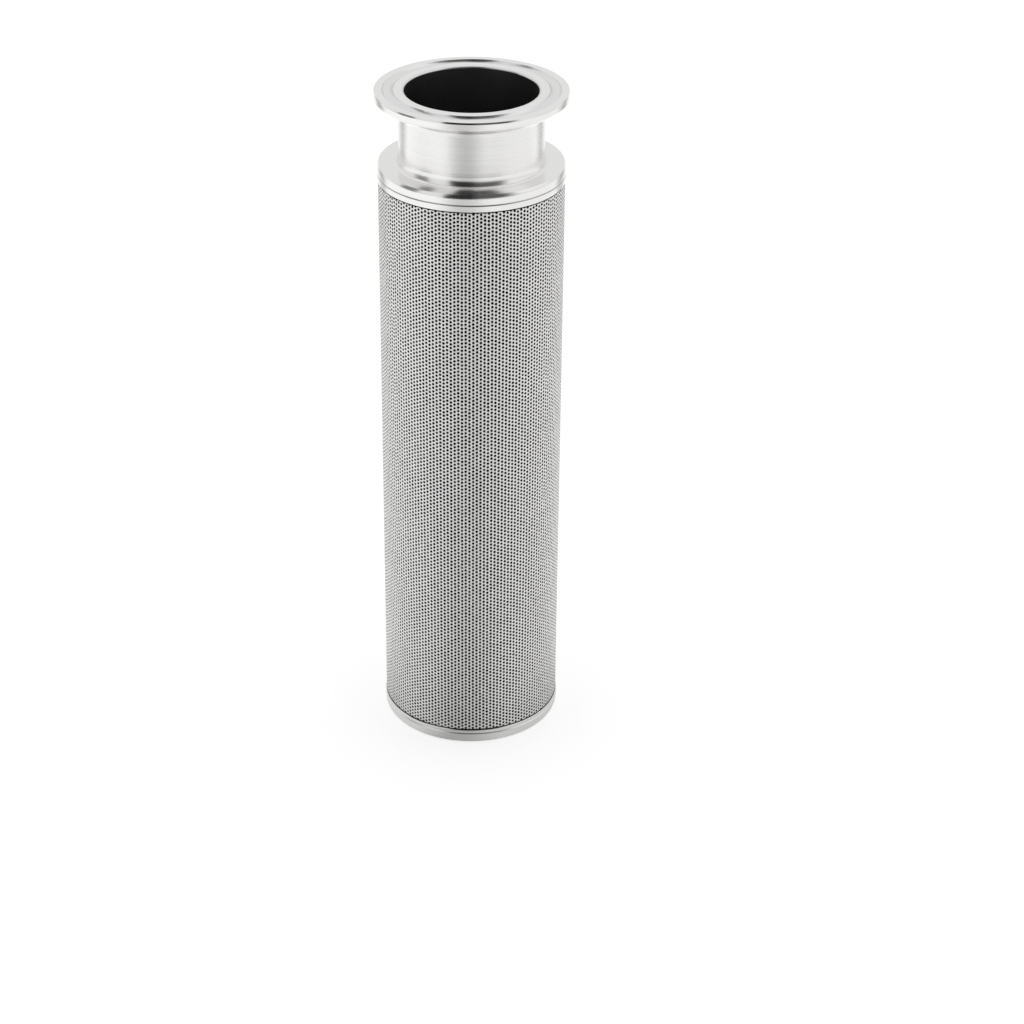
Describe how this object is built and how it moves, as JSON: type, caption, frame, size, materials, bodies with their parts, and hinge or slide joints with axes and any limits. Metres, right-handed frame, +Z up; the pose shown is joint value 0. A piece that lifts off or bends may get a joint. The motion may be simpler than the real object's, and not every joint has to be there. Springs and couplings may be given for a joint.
{
  "type": "hydraulic filter element",
  "caption": "Cylindrical filter element: a perforated steel guard sleeve over a mesh pack and core tube, with a blind lower cap and a clamp flange outlet neck on top.",
  "frame": {"origin": "centre of the base face of the blind lower cap", "axes": "+Z runs up the axis to the clamp face; the sleeve's plain seam band faces +Y, and -Y is the pictured side"},
  "size_m": [0.0506, 0.0506, 0.1845],
  "materials": {
    "ferrule_steel": "polished, turned face",
    "weld_steel": "fine ripple",
    "cap_steel": "polished rim, satin faces",
    "sleeve_steel": "satin perforated sheet",
    "mesh_steel": "woven wire",
    "core_steel": "satin drilled tube"
  },
  "bodies": {
    "root": {"clamp_ferrule": "ferrule_steel", "neck_weld_bead": "weld_steel", "top_end_cap": "cap_steel", "guard_sleeve": "sleeve_steel", "outer_drainage_mesh": "mesh_steel", "filter_mesh": "mesh_steel", "inner_drainage_mesh": "mesh_steel", "core_tube": "core_steel", "bottom_end_cap": "cap_steel"}
  },
  "joints": []
}
